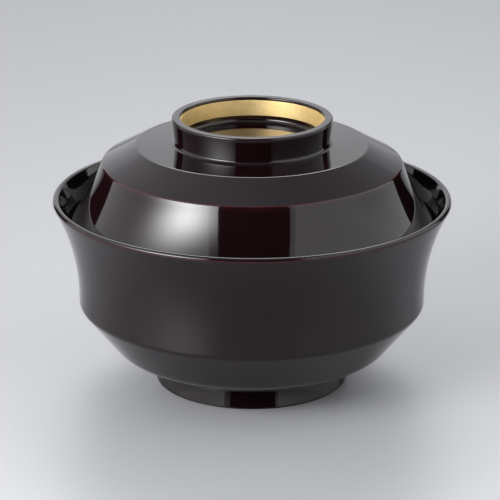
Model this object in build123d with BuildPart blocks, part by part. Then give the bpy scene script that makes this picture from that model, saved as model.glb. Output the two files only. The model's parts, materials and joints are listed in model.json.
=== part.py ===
"""Lidded soup bowl of lacquered ware: a flared bowl on a ring foot and a lid with a ring knob.

Millimetres. Z points up, everything is turned about Z, and the foot stands on z = 0.
Outlines are drawn in the half section, where a point is (radius, height).
"""
import os
from math import cos, radians, sin, sqrt

from build123d import *

# Finish
coat = 0.25  # lacquer, ground and top layers together
gold_thickness = 0.2

# Bowl
rim_radius = 60.5  # outermost radius, at the lip
bowl_height = 58.5  # top of the lip
bowl_wall = 2.8  # wall and flank with their coats
lip_thickness = 2.0  # the wall thins to this, and the lip is a full round of it
rim_lean = 28.0  # degrees that the wall leans out at the lip
flare = 7.5  # how far the lip stands out beyond the belly edge
belly_height = 25.2
belly_round = 2.8
belly_inside_round = 9.0
toe_round = 10.0
toe_inside_round = 14.0
underside_width = 10.7  # from the toe of the flank in to the foot
underside_fall = 0.9  # drop of the underside from the toe to the foot
floor_thickness = 4.5

# Foot ring
foot_radius = 29.6  # at the edge that it stands on
foot_height = 9.6  # table to the underside of the bowl at its toe
foot_wall = 3.2
foot_flare = 1.9  # narrower by this at its root
foot_hollow = 0.25  # how far its side curves in
foot_root_round = 1.0
foot_edge_round = 0.5
recess_round = 1.5
land_coat = 0.4  # width of coat that turns under onto the foot's land

# Lid
seat_depth = 7.5  # lid's lower edge below the top of the bowl
seat_clearance = 0.2
lid_wall = 2.4
lid_edge_round = min(0.4, 0.17 * lid_wall)
lid_wall_height = 18.2  # from its lower edge to the shoulder
lid_wall_inset = 9.7  # how far the wall leans in over that height
lid_wall_hollow = 0.93  # how far its outside curves in
shoulder_round = 1.0
shoulder_inside_round = 4.0
slope_rise = 5.6
slope_run = 10.3
crease_round = 1.0
crease_inside_round = 6.0
plateau_rise = 0.45  # from the crease to the root of the knob

# Ring knob
knob_radius = 24.4  # at its lip
knob_height = 8.0
knob_flare = 0.95  # narrower by this at its root
knob_hollow = 0.12  # how far its side curves in
knob_wall = 2.7
knob_lip_round = min(0.6, 0.4 * knob_wall)
knob_root_round = 1.0
well_floor_thickness = 3.0
well_draft = 0.6
well_round = 1.2
gold_top_gap = 0.95  # from the top of the knob down to the band
gold_height = 4.8


def one_wall_in(path, wall):
    """Corners of the path that runs a wall to the left of a path, for each of its corners."""
    lefts = [(end - start).normalized().rotate(Axis.Z, 90) for start, end in zip(path, path[1:])]
    corners = []
    for corner, left, next_left in zip(path[1:], lefts, lefts[1:]):
        corners.append(corner + (left + next_left) * (wall / (1 + left.dot(next_left))))
    return corners


# Bowl: corners of the outside
lip_round = lip_thickness / 2
lip_center = Vector(rim_radius - lip_round, bowl_height - lip_round)
lean_out = Vector(cos(radians(rim_lean)), -sin(radians(rim_lean)))
lip_outer = lip_center + lean_out * lip_round
lip_inner = lip_center - lean_out * lip_round
belly = Vector(rim_radius - flare, belly_height)
toe = Vector(foot_radius + underside_width, foot_height)
foot_root = Vector(foot_radius - foot_flare, foot_height - underside_fall)
foot_edge = Vector(foot_radius, 0)
foot_waist = (foot_root + foot_edge) * 0.5 - Vector(foot_hollow, 0)
land_outer = Vector(foot_radius - foot_edge_round - land_coat, 0)

with BuildLine() as bowl_outside:
    CenterArc(lip_center, lip_round, -rim_lean, 90 + rim_lean)
    TangentArc(lip_outer, belly, tangent=lean_out.rotate(Axis.Z, -90))
    Polyline(belly, toe, foot_root)
    ThreePointArc(foot_root, foot_waist, foot_edge)
    Line(foot_edge, land_outer)
    for corner, corner_round in (
        (belly, belly_round),
        (toe, toe_round),
        (foot_root, foot_root_round),
        (foot_edge, foot_edge_round),
    ):
        fillet(bowl_outside.vertices().sort_by_distance(corner)[0], radius=corner_round)

# Bowl: corners of the inside, one wall in
below_floor = Vector(0, foot_height)
above_belly = Vector(belly.X, bowl_height)
toe_inside, belly_inside = one_wall_in([below_floor, toe, belly, above_belly], bowl_wall)
floor_middle = Vector(0, foot_height + bowl_wall)

with BuildLine() as bowl_inside:
    CenterArc(lip_center, lip_round, 90, 90 - rim_lean)
    inside_arc = TangentArc(lip_inner, belly_inside, tangent=lean_out.rotate(Axis.Z, -90))
    Polyline(belly_inside, toe_inside, floor_middle)
    fillet(bowl_inside.vertices().sort_by_distance(belly_inside)[0], radius=belly_inside_round)
    fillet(bowl_inside.vertices().sort_by_distance(toe_inside)[0], radius=toe_inside_round)

# Bowl: the recess under the foot
recess_radius = foot_radius - foot_wall
recess_middle = floor_middle - Vector(0, floor_thickness)
land_inner = Vector(recess_radius + foot_edge_round + land_coat, 0)

with BuildLine() as bowl_recess:
    FilletPolyline(
        land_inner,
        (recess_radius, 0),
        (recess_radius - foot_flare, recess_middle.Y),
        recess_middle,
        radius=[foot_edge_round, recess_round],
    )

# Lid: corners of the outside, upwards from its seat on the bowl's inner wall
seat_height = bowl_height - seat_depth
seat_rise = seat_height - inside_arc.arc_center.Y
seat_radius = inside_arc.arc_center.X - sqrt(inside_arc.radius**2 - seat_rise**2)
lid_edge = Vector(seat_radius - seat_clearance, seat_height)
shoulder = lid_edge + Vector(-lid_wall_inset, lid_wall_height)
lid_waist = (shoulder + lid_edge) * 0.5 - Vector(lid_wall_hollow, 0)
crease = shoulder + Vector(-slope_run, slope_rise)
knob_root = Vector(knob_radius - knob_flare, crease.Y + plateau_rise)
knob_edge = Vector(knob_radius, knob_root.Y + knob_height)
knob_waist = (knob_root + knob_edge) * 0.5 - Vector(knob_hollow, 0)

# Lid: corners of the inside, one wall in
below_edge = lid_edge - Vector(0, lid_wall_height)
edge_inside, shoulder_inside, crease_inside = one_wall_in(
    [below_edge, lid_edge, shoulder, crease, knob_root], lid_wall
)
edge_inside = Vector(edge_inside.X, lid_edge.Y)
edge_middle = (lid_edge + edge_inside) * 0.5
ceiling_middle = Vector(0, crease_inside.Y)

# Lid: corners of the well in the knob
well_middle = ceiling_middle + Vector(0, well_floor_thickness)
well_edge = knob_edge - Vector(knob_wall, 0)
well_corner = Vector(well_edge.X - well_draft, well_middle.Y)

with BuildLine() as lid_outside:
    Polyline(well_middle, well_corner, well_edge, knob_edge)
    ThreePointArc(knob_edge, knob_waist, knob_root)
    Polyline(knob_root, crease, shoulder)
    ThreePointArc(shoulder, lid_waist, lid_edge)
    Line(lid_edge, edge_middle)
    for corner, corner_round in (
        (well_corner, well_round),
        (well_edge, knob_lip_round),
        (knob_edge, knob_lip_round),
        (knob_root, knob_root_round),
        (crease, crease_round),
        (shoulder, shoulder_round),
        (lid_edge, lid_edge_round),
    ):
        fillet(lid_outside.vertices().sort_by_distance(corner)[0], radius=corner_round)

with BuildLine() as lid_inside:
    Polyline(edge_middle, edge_inside, shoulder_inside, crease_inside, ceiling_middle)
    for corner, corner_round in (
        (edge_inside, lid_edge_round),
        (shoulder_inside, shoulder_inside_round),
        (crease_inside, crease_inside_round),
    ):
        fillet(lid_inside.vertices().sort_by_distance(corner)[0], radius=corner_round)

# Half sections of the finished bowl and lid
with BuildSketch() as bowl_section:
    with BuildLine():
        add(bowl_outside.line)
        add(bowl_inside.line)
        add(bowl_recess.line)
        Line(land_outer, land_inner)
        Line(recess_middle, floor_middle)
    make_face()

with BuildSketch() as lid_section:
    with BuildLine():
        add(lid_outside.line)
        add(lid_inside.line)
        Line(ceiling_middle, well_middle)
    make_face()


def coat_band(outline):
    """Band along an outline that reaches one coat to each side of it."""
    with BuildSketch() as band:
        with BuildLine():
            offset(outline.edges(), amount=coat)
        make_face()
    return band.sketch


outside_band = coat_band(bowl_outside)
inside_band = coat_band(bowl_inside)
recess_band = coat_band(bowl_recess)
lid_outside_band = coat_band(lid_outside)
lid_inside_band = coat_band(lid_inside)

# Lacquer on the outside of the bowl
with BuildPart() as bowl_outer_coat:
    with BuildSketch(Plane.XZ):
        add(bowl_section.sketch)
        add(outside_band, mode=Mode.INTERSECT)
    revolve(axis=Axis.Z)

# Lacquer in the bowl, which stops at the outer coat on the lip
with BuildPart() as bowl_inner_coat:
    with BuildSketch(Plane.XZ):
        add(bowl_section.sketch)
        add(inside_band, mode=Mode.INTERSECT)
        add(outside_band, mode=Mode.SUBTRACT)
    revolve(axis=Axis.Z)

# Lacquer under the foot
with BuildPart() as bowl_foot_coat:
    with BuildSketch(Plane.XZ):
        add(bowl_section.sketch)
        add(recess_band, mode=Mode.INTERSECT)
    revolve(axis=Axis.Z)

# Core of the bowl with its foot ring
with BuildPart() as bowl_body:
    with BuildSketch(Plane.XZ):
        add(bowl_section.sketch)
        add(outside_band, mode=Mode.SUBTRACT)
        add(inside_band, mode=Mode.SUBTRACT)
        add(recess_band, mode=Mode.SUBTRACT)
    revolve(axis=Axis.Z)

# Lacquer on the lid, its knob and the well
with BuildPart() as lid_outer_coat:
    with BuildSketch(Plane.XZ):
        add(lid_section.sketch)
        add(lid_outside_band, mode=Mode.INTERSECT)
    revolve(axis=Axis.Z)

# Lacquer under the lid, which stops at the outer coat on the lower edge
with BuildPart() as lid_inner_coat:
    with BuildSketch(Plane.XZ):
        add(lid_section.sketch)
        add(lid_inside_band, mode=Mode.INTERSECT)
        add(lid_outside_band, mode=Mode.SUBTRACT)
    revolve(axis=Axis.Z)

# Core of the lid with its ring knob
with BuildPart() as lid_body:
    with BuildSketch(Plane.XZ):
        add(lid_section.sketch)
        add(lid_outside_band, mode=Mode.SUBTRACT)
        add(lid_inside_band, mode=Mode.SUBTRACT)
    revolve(axis=Axis.Z)

# Gold band on the wall of the well
well_slope = (well_edge - well_corner) * (1 / (well_edge.Y - well_corner.Y))
gold_upper = well_edge - well_slope * gold_top_gap
gold_lower = gold_upper - well_slope * gold_height
gold_inset = Vector(gold_thickness, 0)

with BuildPart() as lid_gold_band:
    with BuildSketch(Plane.XZ):
        with BuildLine():
            Polyline(gold_upper, gold_lower, gold_lower - gold_inset, gold_upper - gold_inset, close=True)
        make_face()
    revolve(axis=Axis.Z)

os.makedirs("parts", exist_ok=True)
for name, piece in (
    ("bowl_body", bowl_body),
    ("bowl_outer_coat", bowl_outer_coat),
    ("bowl_inner_coat", bowl_inner_coat),
    ("bowl_foot_coat", bowl_foot_coat),
    ("lid_body", lid_body),
    ("lid_outer_coat", lid_outer_coat),
    ("lid_inner_coat", lid_inner_coat),
    ("lid_gold_band", lid_gold_band),
):
    piece.part.label = name
    export_step(piece.part, f"parts/{name}.step")
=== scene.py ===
"""Looks of a lidded lacquer soup bowl: turned coats of lacquer, a gold band, a light tent and the camera."""
import json
from math import atan2, ceil, cos, pi, radians, sin, sqrt, tan

import bpy
from mathutils import Matrix, Vector


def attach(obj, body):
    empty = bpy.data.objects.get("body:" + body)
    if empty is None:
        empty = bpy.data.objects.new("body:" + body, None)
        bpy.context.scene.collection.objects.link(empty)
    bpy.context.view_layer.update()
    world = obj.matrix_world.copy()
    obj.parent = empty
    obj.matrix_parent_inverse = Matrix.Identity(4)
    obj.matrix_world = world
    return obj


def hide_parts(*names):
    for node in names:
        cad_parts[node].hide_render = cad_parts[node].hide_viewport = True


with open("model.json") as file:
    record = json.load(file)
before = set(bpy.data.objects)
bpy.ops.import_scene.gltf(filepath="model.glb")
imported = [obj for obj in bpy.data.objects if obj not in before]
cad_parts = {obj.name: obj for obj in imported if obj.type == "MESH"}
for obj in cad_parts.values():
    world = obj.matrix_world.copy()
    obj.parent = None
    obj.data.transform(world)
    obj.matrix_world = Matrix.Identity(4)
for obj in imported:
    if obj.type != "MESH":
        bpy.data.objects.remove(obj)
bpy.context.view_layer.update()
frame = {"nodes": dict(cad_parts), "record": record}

MM = 0.001

# Sizes of the bowl, as it is turned
COAT = 0.25 * MM
GOLD_THICKNESS = 0.2 * MM
RIM_RADIUS = 60.5 * MM
BOWL_HEIGHT = 58.5 * MM
BOWL_WALL = 2.8 * MM
LIP_THICKNESS = 2.0 * MM
RIM_LEAN = radians(28)
FLARE = 7.5 * MM
BELLY_HEIGHT = 25.2 * MM
BELLY_ROUND = 2.8 * MM
BELLY_INSIDE_ROUND = 9.0 * MM
TOE_ROUND = 10.0 * MM
TOE_INSIDE_ROUND = 14.0 * MM
UNDERSIDE_WIDTH = 10.7 * MM
UNDERSIDE_FALL = 0.9 * MM
FLOOR_THICKNESS = 4.5 * MM
FOOT_RADIUS = 29.6 * MM
FOOT_HEIGHT = 9.6 * MM
FOOT_WALL = 3.2 * MM
FOOT_FLARE = 1.9 * MM
FOOT_HOLLOW = 0.25 * MM
FOOT_ROOT_ROUND = 1.0 * MM
FOOT_EDGE_ROUND = 0.5 * MM
RECESS_ROUND = 1.5 * MM
LAND_COAT = 0.4 * MM

# Sizes of the lid and its ring knob
SEAT_DEPTH = 7.5 * MM
SEAT_CLEARANCE = 0.2 * MM
LID_WALL = 2.4 * MM
LID_EDGE_ROUND = 0.4 * MM
LID_WALL_HEIGHT = 18.2 * MM
LID_WALL_INSET = 9.7 * MM
LID_WALL_HOLLOW = 0.93 * MM
SHOULDER_ROUND = 1.0 * MM
SHOULDER_INSIDE_ROUND = 4.0 * MM
SLOPE_RISE = 5.6 * MM
SLOPE_RUN = 10.3 * MM
CREASE_ROUND = 1.0 * MM
CREASE_INSIDE_ROUND = 6.0 * MM
PLATEAU_RISE = 0.45 * MM
KNOB_RADIUS = 24.4 * MM
KNOB_HEIGHT = 8.0 * MM
KNOB_FLARE = 0.95 * MM
KNOB_HOLLOW = 0.12 * MM
KNOB_WALL = 2.7 * MM
KNOB_LIP_ROUND = 0.6 * MM
KNOB_ROOT_ROUND = 1.0 * MM
WELL_FLOOR_THICKNESS = 3.0 * MM
WELL_DRAFT = 0.6 * MM
WELL_ROUND = 1.2 * MM
GOLD_TOP_GAP = 0.95 * MM
GOLD_HEIGHT = 4.8 * MM

# How finely the outlines are drawn and turned
TURN_SEGMENTS = 192
ARC_STEP = radians(6)
ARC_CHORD = 2.0 * MM
LONG_RUN = 3.0 * MM
HOLDS = (0.4 * MM, 1.2 * MM)  # points this far from the ends of a long run keep its reflections straight
SHARP_ANGLE = radians(40)
WELD = 0.0001 * MM

# What the finishes mirror
LACQUER_IOR = 1.42  # lacquer is near 1.5, and this is matched to the depth of its black
BOARD_IOR = 1.5
GOLD_METALLIC = 0.75  # metal flakes, under a binder that isn't metal

# Lacquer drains off a tight outer edge, and the red ground shows through there
THIN_CORE = 0.15 * MM
THIN_REACH = 0.5 * MM

# Panels of the light tent, with the radiance of each at its foot and from the grade height up
TENT_HALF = 0.45
SIDE_TOP = 1.0
GRADE_HEIGHT = 0.2
KEY_FRONT = -0.965
KEY_BACK = 0.28
KEY_RADIANCE = (0.3, 0.4)
FILL_FRONT = -0.846
FILL_BACK = 0.32
FILL_RADIANCE = (0.05, 1.2)
BACK_DISTANCE = 0.85
BACK_TOP = 1.6
BACK_RADIANCE = (0.05, 0.05)

# Lamps behind the panels: azimuth and elevation in degrees, spread across and upwards, radiance
SIGHT = Vector((0, 0, 0.06))  # where their directions are measured from
KEY_LAMP = (-48, 22, 0.22, 0.11, 26)
HIGH_BACK_LAMP = (180, 43, 0.22, 0.1, 10)
LOW_BACK_LAMP = (180, 20, 0.22, 0.2, 0.4)

# Black cards in the openings of the tent
FRONT_HALF = 0.6
FRONT_TOP = 1.55
REAR_CARD_END = 0.73
REAR_CARD_TOP = 0.3

# Floor, and surroundings that pass from one radiance to the other as a direction turns to the right
FLOOR_REACH = 4.0
SURROUNDINGS = "#f7f9ff"
LEFT_RADIANCE = 0.98
RIGHT_RADIANCE = 0.58
LEFT_END = -0.4
RIGHT_END = 0.2

# Camera, fitted to the photograph
IMAGE_WIDTH = 500
AXIS_PIXEL = 251.9  # where the bowl's axis stands in the picture's width
CAMERA_PLACE = Vector((0, -0.7675, 0.3014))
CAMERA_PITCH = radians(18.76)
CAMERA_ROLL = radians(0.2)
CAMERA_LENS = 190.66


def point(radius, height):
    """A point of a half section."""
    return Vector((radius, height))


def left_of(direction):
    """Unit vector a quarter turn to the left of a direction."""
    return Vector((-direction.y, direction.x)).normalized()


def line_crossing(start, direction, other, other_direction):
    """Where two lines of the half section cross."""
    turn = direction.cross(other_direction)
    return start + direction * ((other - start).cross(other_direction) / turn)


def one_wall_in(path, wall):
    """Corners of the path that runs a wall to the left of a path."""
    sides = [(start + left_of(end - start) * wall, end - start) for start, end in zip(path, path[1:])]
    return [line_crossing(*side, *next_side) for side, next_side in zip(sides, sides[1:])]


def arc_leaving(start, direction, end):
    """Centre of the circle that leaves a point in a direction and reaches another point."""
    return line_crossing(start, left_of(direction), (start + end) / 2, left_of(end - start))


def arc_through(start, middle, end):
    """Centre of the circle through three points."""
    return line_crossing(
        (start + middle) / 2, left_of(middle - start), (middle + end) / 2, left_of(end - middle)
    )


def arc_points(centre, start, end):
    """Points along the shorter arc from start to end, both included."""
    spoke = start - centre
    last_spoke = end - centre
    turn = atan2(spoke.cross(last_spoke), spoke.dot(last_spoke))
    steps = max(2, ceil(abs(turn) / ARC_STEP), ceil(abs(turn) * spoke.length / ARC_CHORD))
    return [centre + Matrix.Rotation(turn * step / steps, 2) @ spoke for step in range(steps + 1)]


def rounded(corners):
    """Outline through (point, round) corners, with each corner rounded."""
    outline = [corners[0][0]]
    for (before, _), (corner, corner_round), (after, _) in zip(corners, corners[1:], corners[2:]):
        if corner_round:
            back = (before - corner).normalized()
            ahead = (after - corner).normalized()
            half_angle = back.angle(ahead) / 2
            reach = corner_round / tan(half_angle)
            centre = corner + (back + ahead).normalized() * (corner_round / sin(half_angle))
            outline += arc_points(centre, corner + back * reach, corner + ahead * reach)
        else:
            outline.append(corner)
    return outline + [corners[-1][0]]


def held(outline):
    """The same outline with points added near both ends of each long straight run."""
    points = [outline[0]]
    for start, end in zip(outline, outline[1:]):
        along = (end - start).normalized()
        if (end - start).length > LONG_RUN:
            points += [start + along * hold for hold in HOLDS]
            points += [end - along * hold for hold in reversed(HOLDS)]
        points.append(end)
    return points


def smooth(points):
    """Points of a curve as corners with no round of their own."""
    return [(corner, 0) for corner in points]


def coat_section(outline, depth):
    """Section of a layer under an outline, closed on itself or by the axis that it is turned about."""
    under = []
    for before, corner, after in zip(outline[:1] + outline, outline, outline[1:] + outline[-1:]):
        ahead = (corner - before).normalized() + (after - corner).normalized()
        under.append(corner - left_of(ahead) * depth)
    if outline[-1].x < WELD:
        return under[::-1] + outline
    section = outline + under[::-1]
    if outline[0].x < WELD:
        return section
    return section + section[:1]


# Half section of the bowl, downwards outside and outwards inside
lip_round = LIP_THICKNESS / 2
lip_centre = point(RIM_RADIUS - lip_round, BOWL_HEIGHT - lip_round)
lip_crest = lip_centre + point(0, lip_round)
lean_out = point(cos(RIM_LEAN), -sin(RIM_LEAN))
down_wall = -left_of(lean_out)
lip_outer = lip_centre + lean_out * lip_round
lip_inner = lip_centre - lean_out * lip_round
belly = point(RIM_RADIUS - FLARE, BELLY_HEIGHT)
toe = point(FOOT_RADIUS + UNDERSIDE_WIDTH, FOOT_HEIGHT)
foot_root = point(FOOT_RADIUS - FOOT_FLARE, FOOT_HEIGHT - UNDERSIDE_FALL)
foot_edge = point(FOOT_RADIUS, 0)
foot_waist = (foot_root + foot_edge) / 2 - point(FOOT_HOLLOW, 0)
land_outer = foot_edge - point(FOOT_EDGE_ROUND + LAND_COAT, 0)
outer_arc = arc_leaving(lip_outer, down_wall, belly)
foot_arc = arc_through(foot_root, foot_waist, foot_edge)
bowl_outside = held(rounded(
    smooth(arc_points(lip_centre, lip_crest, lip_outer)[:-1])
    + smooth(arc_points(outer_arc, lip_outer, belly)[:-1])
    + [(belly, BELLY_ROUND), (toe, TOE_ROUND), (foot_root, FOOT_ROOT_ROUND)]
    + smooth(arc_points(foot_arc, foot_root, foot_edge)[1:-1])
    + [(foot_edge, FOOT_EDGE_ROUND), (land_outer, 0)]
))

toe_inside, belly_inside = one_wall_in(
    [point(0, FOOT_HEIGHT), toe, belly, point(belly.x, BOWL_HEIGHT)], BOWL_WALL
)
floor_middle = point(0, FOOT_HEIGHT + BOWL_WALL)
inner_arc = arc_leaving(lip_inner, down_wall, belly_inside)
bowl_inside = held(rounded(
    [(floor_middle, 0), (toe_inside, TOE_INSIDE_ROUND), (belly_inside, BELLY_INSIDE_ROUND)]
    + smooth(arc_points(inner_arc, belly_inside, lip_inner)[1:-1])
    + smooth(arc_points(lip_centre, lip_inner, lip_crest))
))

recess_edge = point(FOOT_RADIUS - FOOT_WALL, 0)
recess_middle = floor_middle - point(0, FLOOR_THICKNESS)
recess_corner = point(recess_edge.x - FOOT_FLARE, recess_middle.y)
land_inner = recess_edge + point(FOOT_EDGE_ROUND + LAND_COAT, 0)
bowl_recess = held(rounded(
    [(land_inner, 0), (recess_edge, FOOT_EDGE_ROUND), (recess_corner, RECESS_ROUND), (recess_middle, 0)]
))

# Half section of the lid, outwards and down outside and inwards under it
seat_height = BOWL_HEIGHT - SEAT_DEPTH
seat_rise = seat_height - inner_arc.y
inner_arc_radius = (lip_inner - inner_arc).length
seat_radius = inner_arc.x - sqrt(inner_arc_radius**2 - seat_rise**2)
lid_edge = point(seat_radius - SEAT_CLEARANCE, seat_height)
shoulder = lid_edge + point(-LID_WALL_INSET, LID_WALL_HEIGHT)
lid_waist = (shoulder + lid_edge) / 2 - point(LID_WALL_HOLLOW, 0)
crease = shoulder + point(-SLOPE_RUN, SLOPE_RISE)
knob_root = point(KNOB_RADIUS - KNOB_FLARE, crease.y + PLATEAU_RISE)
knob_edge = point(KNOB_RADIUS, knob_root.y + KNOB_HEIGHT)
knob_waist = (knob_root + knob_edge) / 2 - point(KNOB_HOLLOW, 0)
edge_inside, shoulder_inside, crease_inside = one_wall_in(
    [lid_edge - point(0, LID_WALL_HEIGHT), lid_edge, shoulder, crease, knob_root], LID_WALL
)
edge_inside.y = lid_edge.y
edge_middle = (lid_edge + edge_inside) / 2
ceiling_middle = point(0, crease_inside.y)
well_middle = ceiling_middle + point(0, WELL_FLOOR_THICKNESS)
well_edge = knob_edge - point(KNOB_WALL, 0)
well_corner = point(well_edge.x - WELL_DRAFT, well_middle.y)
knob_arc = arc_through(knob_edge, knob_waist, knob_root)
lid_arc = arc_through(shoulder, lid_waist, lid_edge)
lid_outside = held(rounded(
    [(well_middle, 0), (well_corner, WELL_ROUND), (well_edge, KNOB_LIP_ROUND), (knob_edge, KNOB_LIP_ROUND)]
    + smooth(arc_points(knob_arc, knob_edge, knob_root)[1:-1])
    + [(knob_root, KNOB_ROOT_ROUND), (crease, CREASE_ROUND), (shoulder, SHOULDER_ROUND)]
    + smooth(arc_points(lid_arc, shoulder, lid_edge)[1:-1])
    + [(lid_edge, LID_EDGE_ROUND), (edge_middle, 0)]
))
lid_inside = held(rounded(
    [(edge_middle, 0), (edge_inside, LID_EDGE_ROUND), (shoulder_inside, SHOULDER_INSIDE_ROUND)]
    + [(crease_inside, CREASE_INSIDE_ROUND), (ceiling_middle, 0)]
))

# Section of the gold band, upwards along the wall of the well
up_well = (well_edge - well_corner).normalized()
gold_top = line_crossing(well_corner, up_well, point(0, well_edge.y - GOLD_TOP_GAP), point(1, 0))
gold_bottom = line_crossing(
    well_corner, up_well, point(0, well_edge.y - GOLD_TOP_GAP - GOLD_HEIGHT), point(1, 0)
)
gold_inset = point(GOLD_THICKNESS, 0)
gold_section = rounded([
    (gold_bottom, 0),
    (gold_bottom - gold_inset, GOLD_THICKNESS / 2),
    (gold_top - gold_inset, GOLD_THICKNESS / 2),
    (gold_top, 0),
    (gold_bottom, 0),
])


def add_node(tree, kind, inputs=None, **settings):
    """Adds a node, with its settings, and a value or a link for each named input."""
    node = tree.nodes.new(kind)
    for name, value in settings.items():
        setattr(node, name, value)
    for name, value in (inputs or {}).items():
        if isinstance(value, bpy.types.NodeSocket):
            tree.links.new(value, node.inputs[name])
        else:
            node.inputs[name].default_value = value
    return node


def turning_tree():
    """Geometry nodes that turn an outline, drawn in the XZ plane, about Z."""
    tree = bpy.data.node_groups.new("turn_outline", "GeometryNodeTree")
    for name, kind in (
        ("Outline", "NodeSocketGeometry"),
        ("Segments", "NodeSocketInt"),
        ("Sharp Angle", "NodeSocketFloat"),
        ("Finish", "NodeSocketMaterial"),
    ):
        tree.interface.new_socket(name, in_out="INPUT", socket_type=kind)
    tree.interface.new_socket("Piece", in_out="OUTPUT", socket_type="NodeSocketGeometry")
    given = add_node(tree, "NodeGroupInput").outputs
    corners = add_node(tree, "GeometryNodeAttributeDomainSize", {"Geometry": given["Outline"]})
    ring = add_node(tree, "FunctionNodeIntegerMath", {0: given["Segments"], 1: 1}, operation="ADD")
    grid = add_node(
        tree,
        "GeometryNodeMeshGrid",
        {"Vertices X": corners.outputs["Point Count"], "Vertices Y": ring.outputs[0]},
    )
    index = add_node(tree, "GeometryNodeInputIndex").outputs[0]
    along = add_node(
        tree, "FunctionNodeIntegerMath", {0: index, 1: ring.outputs[0]}, operation="DIVIDE_FLOOR"
    )
    around = add_node(tree, "FunctionNodeIntegerMath", {0: index, 1: ring.outputs[0]}, operation="MODULO")
    step = add_node(tree, "ShaderNodeMath", {0: 2 * pi, 1: given["Segments"]}, operation="DIVIDE")
    angle = add_node(
        tree, "ShaderNodeMath", {0: around.outputs[0], 1: step.outputs[0]}, operation="MULTIPLY"
    )
    corner = add_node(
        tree,
        "GeometryNodeSampleIndex",
        {
            "Geometry": given["Outline"],
            "Value": add_node(tree, "GeometryNodeInputPosition").outputs[0],
            "Index": along.outputs[0],
        },
        data_type="FLOAT_VECTOR",
    )
    turned_corner = add_node(
        tree,
        "ShaderNodeVectorRotate",
        {"Vector": corner.outputs[0], "Angle": angle.outputs[0]},
        rotation_type="Z_AXIS",
    )
    placed = add_node(
        tree,
        "GeometryNodeSetPosition",
        {"Geometry": grid.outputs["Mesh"], "Position": turned_corner.outputs[0]},
    )
    outline_thin = add_node(
        tree, "GeometryNodeInputNamedAttribute", {"Name": "thin"}, data_type="FLOAT"
    )
    thin = add_node(
        tree,
        "GeometryNodeSampleIndex",
        {
            "Geometry": given["Outline"],
            "Value": outline_thin.outputs["Attribute"],
            "Index": along.outputs[0],
        },
        data_type="FLOAT",
    )
    painted = add_node(
        tree,
        "GeometryNodeStoreNamedAttribute",
        {"Geometry": placed.outputs[0], "Name": "thin", "Value": thin.outputs[0]},
        data_type="FLOAT",
        domain="POINT",
    )
    welded = add_node(
        tree, "GeometryNodeMergeByDistance", {"Geometry": painted.outputs[0], "Distance": WELD}
    )
    shaded = add_node(
        tree, "GeometryNodeSetShadeSmooth", {"Geometry": welded.outputs[0], "Shade Smooth": True}
    )
    edge_angle = add_node(tree, "GeometryNodeInputMeshEdgeAngle").outputs["Unsigned Angle"]
    sharp = add_node(
        tree, "ShaderNodeMath", {0: edge_angle, 1: given["Sharp Angle"]}, operation="GREATER_THAN"
    )
    creased = add_node(
        tree,
        "GeometryNodeSetShadeSmooth",
        {"Geometry": shaded.outputs[0], "Selection": sharp.outputs[0], "Shade Smooth": False},
        domain="EDGE",
    )
    whole = add_node(tree, "GeometryNodeRealizeInstances", {"Geometry": creased.outputs[0]})
    finished = add_node(
        tree, "GeometryNodeSetMaterial", {"Geometry": whole.outputs[0], "Material": given["Finish"]}
    )
    add_node(tree, "NodeGroupOutput", {"Piece": finished.outputs[0]})
    return tree


TURNING = turning_tree()


def thinness(corner, edges):
    """How thin the lacquer lies at a point, from 0 to 1 at an edge."""
    nearest = min(((corner - edge).length for edge in edges), default=THIN_REACH)
    share = (THIN_REACH - nearest) / (THIN_REACH - THIN_CORE)
    share = min(1, max(0, share))
    return share * share * (3 - 2 * share)


def turned_piece(node, section, finish, edges=()):
    """A piece turned from its section, which takes the place of a node and joins the same body."""
    record = frame["record"]
    body = next(name for name, nodes in record["behaviour"]["bodies"].items() if node in nodes)
    outline = bpy.data.meshes.new(node + "_section")
    outline.from_pydata([(corner.x, 0, corner.y) for corner in section], [], [])
    thin = outline.attributes.new("thin", "FLOAT", "POINT")
    thin.data.foreach_set("value", [thinness(corner, edges) for corner in section])
    piece = bpy.data.objects.new(node + "_turned", outline)
    bpy.context.scene.collection.objects.link(piece)
    turning = piece.modifiers.new("Turning", "NODES")
    turning.node_group = TURNING
    values = {"Segments": TURN_SEGMENTS, "Sharp Angle": SHARP_ANGLE, "Finish": finish}
    for socket in TURNING.interface.items_tree:
        if socket.name in values:
            turning[socket.identifier] = values[socket.name]
    evaluated = piece.evaluated_get(bpy.context.evaluated_depsgraph_get())
    solid = bpy.data.meshes.new_from_object(evaluated)
    piece.modifiers.remove(turning)
    piece.data = solid
    solid.name = node
    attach(piece, body)
    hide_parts(node)


def linear(colour):
    """Linear colour of an sRGB hex value."""
    channels = [int(colour[start:start + 2], 16) / 255 for start in (1, 3, 5)]
    return [c / 12.92 if c <= 0.04045 else ((c + 0.055) / 1.055) ** 2.4 for c in channels] + [1.0]


def new_material(name):
    """An empty material: its node tree, its principled shader and the object coordinates."""
    material = bpy.data.materials.new(name)
    material.use_nodes = True
    tree = material.node_tree
    shader = tree.nodes["Principled BSDF"]
    coords = add_node(tree, "ShaderNodeTexCoord").outputs["Object"]
    return material, tree, shader, coords


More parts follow.
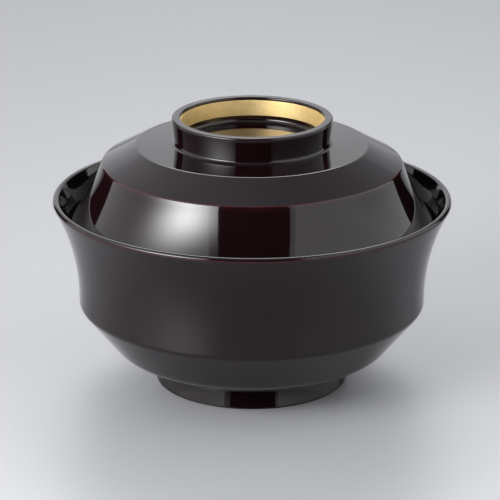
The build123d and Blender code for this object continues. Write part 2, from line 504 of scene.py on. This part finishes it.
def brown_lacquer():
    """See-through brown lacquer, brushed over a red ground and rubbed to a mirror.

    It looks black, is dark red where light falls on it, and shows its ground along thin edges.
    """
    material, tree, shader, coords = new_material("brown_lacquer_rubbed_over_red")
    pools = add_node(tree, "ShaderNodeTexNoise", {"Vector": coords, "Scale": 1 / (22 * MM)})
    pooled = add_node(
        tree,
        "ShaderNodeMix",
        {"Factor": pools.outputs["Fac"], "A": linear("#0c0507"), "B": linear("#140708")},
        data_type="RGBA",
    )
    thin = add_node(tree, "ShaderNodeAttribute", attribute_name="thin").outputs["Fac"]
    patches = add_node(tree, "ShaderNodeTexNoise", {"Vector": coords, "Scale": 1 / (6 * MM)})
    patchy = add_node(
        tree,
        "ShaderNodeMapRange",
        {"Value": patches.outputs["Fac"], "From Min": 0.3, "From Max": 0.7, "To Min": 0.65},
    )
    shows = add_node(tree, "ShaderNodeMath", {0: thin, 1: patchy.outputs[0]}, operation="MULTIPLY")
    colour = add_node(
        tree,
        "ShaderNodeMix",
        {"Factor": shows.outputs[0], "A": pooled.outputs["Result"], "B": linear("#2c1112")},
        data_type="RGBA",
    )
    rubbing = add_node(tree, "ShaderNodeTexNoise", {"Vector": coords, "Scale": 1 / (3 * MM), "Detail": 4.0})
    rub = add_node(
        tree, "ShaderNodeMapRange", {"Value": rubbing.outputs["Fac"], "To Min": 0.03, "To Max": 0.08}
    )
    strokes = add_node(tree, "ShaderNodeTexNoise", {"Vector": coords, "Scale": 1 / (12 * MM)})
    brushed = add_node(
        tree, "ShaderNodeBump", {"Height": strokes.outputs["Fac"], "Distance": 0.006 * MM}
    )
    tree.links.new(colour.outputs["Result"], shader.inputs["Base Color"])
    tree.links.new(rub.outputs[0], shader.inputs["Roughness"])
    tree.links.new(brushed.outputs[0], shader.inputs["Normal"])
    shader.inputs["IOR"].default_value = LACQUER_IOR
    return material


def black_lacquer():
    """Black lacquer, dyed with iron, brushed and polished.

    It is a deep neutral black with a clear mirror, a little softer where the brush left it uneven.
    """
    material, tree, shader, coords = new_material("black_lacquer_polished")
    pools = add_node(tree, "ShaderNodeTexNoise", {"Vector": coords, "Scale": 1 / (18 * MM)})
    colour = add_node(
        tree,
        "ShaderNodeMix",
        {"Factor": pools.outputs["Fac"], "A": linear("#080908"), "B": linear("#0e0f0d")},
        data_type="RGBA",
    )
    rubbing = add_node(tree, "ShaderNodeTexNoise", {"Vector": coords, "Scale": 1 / (4 * MM), "Detail": 4.0})
    polish = add_node(
        tree, "ShaderNodeMapRange", {"Value": rubbing.outputs["Fac"], "To Min": 0.03, "To Max": 0.1}
    )
    strokes = add_node(tree, "ShaderNodeTexNoise", {"Vector": coords, "Scale": 1 / (10 * MM)})
    brushed = add_node(
        tree, "ShaderNodeBump", {"Height": strokes.outputs["Fac"], "Distance": 0.006 * MM}
    )
    tree.links.new(colour.outputs["Result"], shader.inputs["Base Color"])
    tree.links.new(polish.outputs[0], shader.inputs["Roughness"])
    tree.links.new(brushed.outputs[0], shader.inputs["Normal"])
    shader.inputs["IOR"].default_value = LACQUER_IOR
    return material


def gold_paint():
    """Gold paint of metal flakes in a clear binder, brushed on in one band.

    It has a satin glow, with fine bright and dull flakes and broad patches where it lies thinner.
    The flakes are under 0.1 mm across and are drawn coarser, at 0.7 mm, so that they show.
    """
    material, tree, shader, coords = new_material("gold_flake_paint_brushed")
    thinner = add_node(tree, "ShaderNodeTexNoise", {"Vector": coords, "Scale": 1 / (5 * MM), "Detail": 3.0})
    patches = add_node(
        tree,
        "ShaderNodeMix",
        {"Factor": thinner.outputs["Fac"], "A": linear("#cbab68"), "B": linear("#dcc590")},
        data_type="RGBA",
    )
    flakes = add_node(
        tree, "ShaderNodeTexNoise", {"Vector": coords, "Scale": 1 / (0.7 * MM), "Detail": 1.0}
    ).outputs["Fac"]
    sparkle = add_node(
        tree,
        "ShaderNodeMapRange",
        {"Value": flakes, "From Min": 0.35, "From Max": 0.75, "To Max": 0.35},
    )
    colour = add_node(
        tree,
        "ShaderNodeMix",
        {"Factor": sparkle.outputs[0], "A": patches.outputs["Result"], "B": linear("#f0dcae")},
        data_type="RGBA",
    )
    satin = add_node(tree, "ShaderNodeMapRange", {"Value": flakes, "To Min": 0.42, "To Max": 0.6})
    grain = add_node(tree, "ShaderNodeBump", {"Height": flakes, "Distance": 0.01 * MM})
    tree.links.new(colour.outputs["Result"], shader.inputs["Base Color"])
    tree.links.new(satin.outputs[0], shader.inputs["Roughness"])
    tree.links.new(grain.outputs[0], shader.inputs["Normal"])
    shader.inputs["Metallic"].default_value = GOLD_METALLIC
    return material


def resin_core():
    """Resin filled with wood flour, moulded.

    It shows only on the ring that the foot stands on, matt red-brown with pale specks of wood.
    """
    material, tree, shader, coords = new_material("wood_filled_resin_moulded")
    specks = add_node(
        tree,
        "ShaderNodeTexNoise",
        {"Vector": coords, "Scale": 1 / (0.6 * MM), "Detail": 3.0, "Roughness": 0.7},
    ).outputs["Fac"]
    speckled = add_node(tree, "ShaderNodeMapRange", {"Value": specks, "From Min": 0.45, "From Max": 0.75})
    colour = add_node(
        tree,
        "ShaderNodeMix",
        {"Factor": speckled.outputs[0], "A": linear("#4d2f23"), "B": linear("#80583f")},
        data_type="RGBA",
    )
    matt = add_node(tree, "ShaderNodeMapRange", {"Value": specks, "To Min": 0.5, "To Max": 0.75})
    pores = add_node(tree, "ShaderNodeBump", {"Height": specks, "Distance": 0.03 * MM})
    tree.links.new(colour.outputs["Result"], shader.inputs["Base Color"])
    tree.links.new(matt.outputs[0], shader.inputs["Roughness"])
    tree.links.new(pores.outputs[0], shader.inputs["Normal"])
    return material


def satin_board():
    """Laminated board with a satin face: an even pale grey, a little cool, that mirrors softly."""
    material, tree, shader, coords = new_material("laminated_board_satin")
    grain = add_node(
        tree, "ShaderNodeTexNoise", {"Vector": coords, "Scale": 1 / (1.5 * MM), "Detail": 3.0}
    ).outputs["Fac"]
    colour = add_node(
        tree,
        "ShaderNodeMix",
        {"Factor": grain, "A": linear("#9fa0a3"), "B": linear("#a2a3a6")},
        data_type="RGBA",
    )
    satin = add_node(tree, "ShaderNodeMapRange", {"Value": grain, "To Min": 0.36, "To Max": 0.44})
    tree.links.new(colour.outputs["Result"], shader.inputs["Base Color"])
    tree.links.new(satin.outputs[0], shader.inputs["Roughness"])
    shader.inputs["IOR"].default_value = BOARD_IOR
    return material


def black_felt():
    """Black felt on a card, matt all over: what the lacquer mirrors as its dark gaps."""
    material, tree, shader, coords = new_material("black_felt_pressed")
    nap = add_node(tree, "ShaderNodeTexNoise", {"Vector": coords, "Scale": 1 / (3 * MM)})
    colour = add_node(
        tree,
        "ShaderNodeMix",
        {"Factor": nap.outputs["Fac"], "A": linear("#040404"), "B": linear("#0a0a0a")},
        data_type="RGBA",
    )
    tree.links.new(colour.outputs["Result"], shader.inputs["Base Color"])
    shader.inputs["Roughness"].default_value = 1.0
    shader.inputs["Specular IOR Level"].default_value = 0.0
    return material


# The coats of lacquer, the gold band and the cores under them
brown = brown_lacquer()
black = black_lacquer()
lip_edge = lip_centre + point(lip_round, 0)
turned_piece("bowl_outer_coat", coat_section(bowl_outside, COAT), brown, [lip_edge, foot_edge])
turned_piece("bowl_inner_coat", coat_section(bowl_inside, COAT), black)
turned_piece("bowl_foot_coat", coat_section(bowl_recess, COAT), black)
turned_piece("lid_outer_coat", coat_section(lid_outside, COAT), brown, [knob_edge, shoulder])
turned_piece("lid_inner_coat", coat_section(lid_inside, COAT), black)
turned_piece("lid_gold_band", gold_section, gold_paint())
core = resin_core()
for node in ("bowl_body", "lid_body"):
    for material_slot in frame["nodes"][node].material_slots:
        material_slot.material = core


def upright(name, start, end, height, finish):
    """A card that stands on the floor from one place to another, mirrored but unseen by the camera."""
    rise = Vector((0, 0, height))
    mesh = bpy.data.meshes.new(name)
    mesh.from_pydata([start, end, end + rise, start + rise], [], [(0, 1, 2, 3)])
    mesh.materials.append(finish)
    card = bpy.data.objects.new(name, mesh)
    bpy.context.scene.collection.objects.link(card)
    card.visible_camera = False


def towards(azimuth, elevation):
    """Direction at an angle from the camera's side of the bowl, to the right where it is positive."""
    around = radians(azimuth)
    up = radians(elevation)
    return Vector((sin(around) * cos(up), -cos(around) * cos(up), sin(up)))


def soft_panel(name, centre, width, height, radiance, lamps=()):
    """A lit panel that stands on the floor and faces the bowl, with lamps that glow through it.

    Each lamp has the direction that the bowl sees it in, how far its bell-shaped glow spreads across and
    upwards as shares of its distance, and the radiance that it adds in its middle.
    """
    foot_radiance, upper_radiance = radiance
    light = bpy.data.lights.new(name, "AREA")
    light.shape = "RECTANGLE"
    light.size = width
    light.size_y = height
    light.energy = pi * width * height
    light.use_nodes = True
    tree = light.node_tree
    place = add_node(tree, "ShaderNodeNewGeometry").outputs["Position"]
    level = add_node(tree, "ShaderNodeSeparateXYZ", {0: place}).outputs["Z"]
    strength = add_node(
        tree,
        "ShaderNodeMapRange",
        {"Value": level, "From Max": GRADE_HEIGHT, "To Min": foot_radiance, "To Max": upper_radiance},
    ).outputs[0]
    sight = add_node(tree, "ShaderNodeVectorMath", {0: place, 1: SIGHT}, operation="SUBTRACT")
    seen = add_node(tree, "ShaderNodeVectorMath", {0: sight.outputs[0]}, operation="NORMALIZE")
    for azimuth, elevation, across, upwards, peak in lamps:
        off = add_node(
            tree,
            "ShaderNodeVectorMath",
            {0: seen.outputs[0], 1: towards(azimuth, elevation)},
            operation="SUBTRACT",
        )
        share = add_node(
            tree,
            "ShaderNodeVectorMath",
            {0: off.outputs[0], 1: (across, across, upwards)},
            operation="DIVIDE",
        ).outputs[0]
        square = add_node(tree, "ShaderNodeVectorMath", {0: share, 1: share}, operation="DOT_PRODUCT")
        fall = add_node(
            tree, "ShaderNodeMath", {0: square.outputs["Value"], 1: -0.5}, operation="MULTIPLY"
        )
        bell = add_node(tree, "ShaderNodeMath", {0: fall.outputs[0]}, operation="EXPONENT")
        strength = add_node(
            tree, "ShaderNodeMath", {0: bell.outputs[0], 1: peak, 2: strength}, operation="MULTIPLY_ADD"
        ).outputs[0]
    tree.links.new(strength, tree.nodes["Emission"].inputs["Strength"])
    panel = bpy.data.objects.new(name, light)
    bpy.context.scene.collection.objects.link(panel)
    panel.location = centre + Vector((0, 0, height / 2))
    facing = Vector((-centre.x, 0, 0)) if abs(centre.x) > abs(centre.y) else Vector((0, -centre.y, 0))
    panel.rotation_euler = facing.to_track_quat("-Z", "Y").to_euler()
    panel.visible_camera = False


# Light tent: a lamp behind the left panel, a plain panel on the right, and two lamps behind the bowl
soft_panel(
    "key_panel",
    Vector((-TENT_HALF, (KEY_FRONT + KEY_BACK) / 2, 0)),
    KEY_BACK - KEY_FRONT,
    SIDE_TOP,
    KEY_RADIANCE,
    [KEY_LAMP],
)
soft_panel(
    "fill_panel",
    Vector((TENT_HALF, (FILL_FRONT + FILL_BACK) / 2, 0)),
    FILL_BACK - FILL_FRONT,
    SIDE_TOP,
    FILL_RADIANCE,
)
soft_panel(
    "back_panel",
    Vector((0, BACK_DISTANCE, 0)),
    2 * TENT_HALF,
    BACK_TOP,
    BACK_RADIANCE,
    [HIGH_BACK_LAMP, LOW_BACK_LAMP],
)

# Black cards on the camera's side of the tent and in both rear corners
felt = black_felt()
front_left = Vector((-FRONT_HALF, KEY_FRONT, 0))
front_right = Vector((FRONT_HALF, KEY_FRONT, 0))
upright("front_card", front_left, front_right, FRONT_TOP, felt)
for name, side, start in (
    ("left_rear_card", -TENT_HALF, KEY_BACK),
    ("right_rear_card", TENT_HALF, FILL_BACK),
):
    upright(name, Vector((side, start, 0)), Vector((side, REAR_CARD_END, 0)), REAR_CARD_TOP, felt)

# Satin floor, and pale surroundings over it that are brighter on the key lamp's side
floor_corners = [
    (x * FLOOR_REACH, y * FLOOR_REACH, 0) for x, y in ((-1, -1), (1, -1), (1, 1), (-1, 1))
]
floor_mesh = bpy.data.meshes.new("satin_floor")
floor_mesh.from_pydata(floor_corners, [], [(0, 1, 2, 3)])
floor_mesh.materials.append(satin_board())
floor = bpy.data.objects.new("satin_floor", floor_mesh)
bpy.context.scene.collection.objects.link(floor)
world = bpy.data.worlds.new("pale_surroundings")
bpy.context.scene.world = world
world.use_nodes = True
sky = world.node_tree
direction = add_node(sky, "ShaderNodeTexCoord").outputs["Generated"]
sideways = add_node(sky, "ShaderNodeSeparateXYZ", {0: direction}).outputs["X"]
brightness = add_node(
    sky,
    "ShaderNodeMapRange",
    {
        "Value": sideways,
        "From Min": LEFT_END,
        "From Max": RIGHT_END,
        "To Min": LEFT_RADIANCE,
        "To Max": RIGHT_RADIANCE,
    },
)
sky.nodes["Background"].inputs["Color"].default_value = linear(SURROUNDINGS)
sky.links.new(brightness.outputs[0], sky.nodes["Background"].inputs["Strength"])

# Camera at the photograph's angle, a little above the bowl
camera_data = bpy.data.cameras.new("photo_camera")
camera_data.lens = CAMERA_LENS
camera_data.shift_x = (IMAGE_WIDTH / 2 - AXIS_PIXEL) / IMAGE_WIDTH
camera = bpy.data.objects.new("photo_camera", camera_data)
bpy.context.scene.collection.objects.link(camera)
camera.location = CAMERA_PLACE
tilt = Matrix.Rotation(pi / 2 - CAMERA_PITCH, 3, "X") @ Matrix.Rotation(CAMERA_ROLL, 3, "Z")
camera.rotation_euler = tilt.to_euler()
bpy.context.scene.camera = camera
bpy.context.scene.view_settings.view_transform = "Standard"
